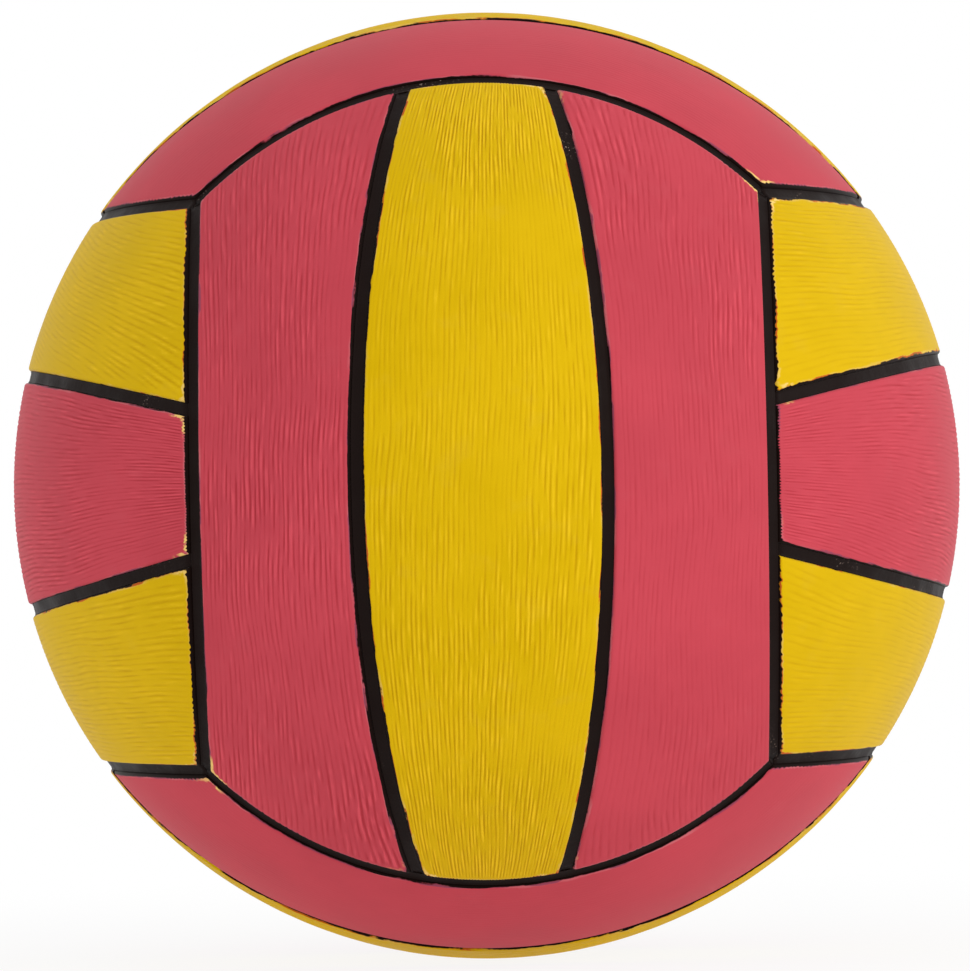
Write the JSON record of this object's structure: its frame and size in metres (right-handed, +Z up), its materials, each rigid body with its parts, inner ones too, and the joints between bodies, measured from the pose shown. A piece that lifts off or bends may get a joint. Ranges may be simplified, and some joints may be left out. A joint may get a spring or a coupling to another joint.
{
  "type": "water polo ball",
  "caption": "Hollow rubber water polo ball with a panelled cover, black channel strips, wound carcass, bladder and a removable needle-valve plug.",
  "frame": {"origin": "centre of the ball", "axes": "+Z up, -Y towards the side that the picture shows, +Y out of the needle valve on the hidden side"},
  "size_m": [0.22, 0.2198, 0.22],
  "materials": {
    "cover_yellow": "satin grip rubber",
    "cover_coral": "satin grip rubber",
    "seam_black": "glossy",
    "carcass": "matt",
    "thread_winding": "wound thread",
    "bladder": "smooth",
    "valve_housing": "satin",
    "valve_plug": "satin"
  },
  "bodies": {
    "ball": {"bladder": "bladder", "carcass": "carcass", "edge_seam_back_left": "seam_black", "edge_seam_back_right": "seam_black", "edge_seam_bottom_back": "seam_black", "edge_seam_bottom_front": "seam_black", "edge_seam_front_left": "seam_black", "edge_seam_front_right": "seam_black", "edge_seam_left_bottom": "seam_black", "edge_seam_left_top": "seam_black", "edge_seam_right_bottom": "seam_black", "edge_seam_right_top": "seam_black", "edge_seam_top_back": "seam_black", "edge_seam_top_front": "seam_black", "face_seam_back_left": "seam_black", "face_seam_back_right": "seam_black", "face_seam_bottom_back": "seam_black", "face_seam_bottom_front": "seam_black", "face_seam_front_left": "seam_black", "face_seam_front_right": "seam_black", "face_seam_left_bottom": "seam_black", "face_seam_left_top": "seam_black", "face_seam_right_bottom": "seam_black", "face_seam_right_top": "seam_black", "face_seam_top_back": "seam_black", "face_seam_top_front": "seam_black", "panel_back_left": "cover_coral", "panel_back_middle": "cover_yellow", "panel_back_right": "cover_coral", "panel_bottom_back": "cover_coral", "panel_bottom_front": "cover_coral", "panel_bottom_middle": "cover_yellow", "panel_front_left": "cover_coral", "panel_front_middle": "cover_yellow", "panel_front_right": "cover_coral", "panel_left_bottom": "cover_yellow", "panel_left_middle": "cover_coral", "panel_left_top": "cover_yellow", "panel_right_bottom": "cover_yellow", "panel_right_middle": "cover_coral", "panel_right_top": "cover_yellow", "panel_top_back": "cover_coral", "panel_top_front": "cover_coral", "panel_top_middle": "cover_yellow", "thread_winding": "thread_winding", "valve_housing": "valve_housing"},
    "plug": {"valve_plug": "valve_plug"}
  },
  "joints": [
    {"name": "valve_plug_pull", "type": "slide", "parent": "ball", "child": "plug", "axis": [0, 1, 0], "range_m": [0, 0.0155]}
  ]
}
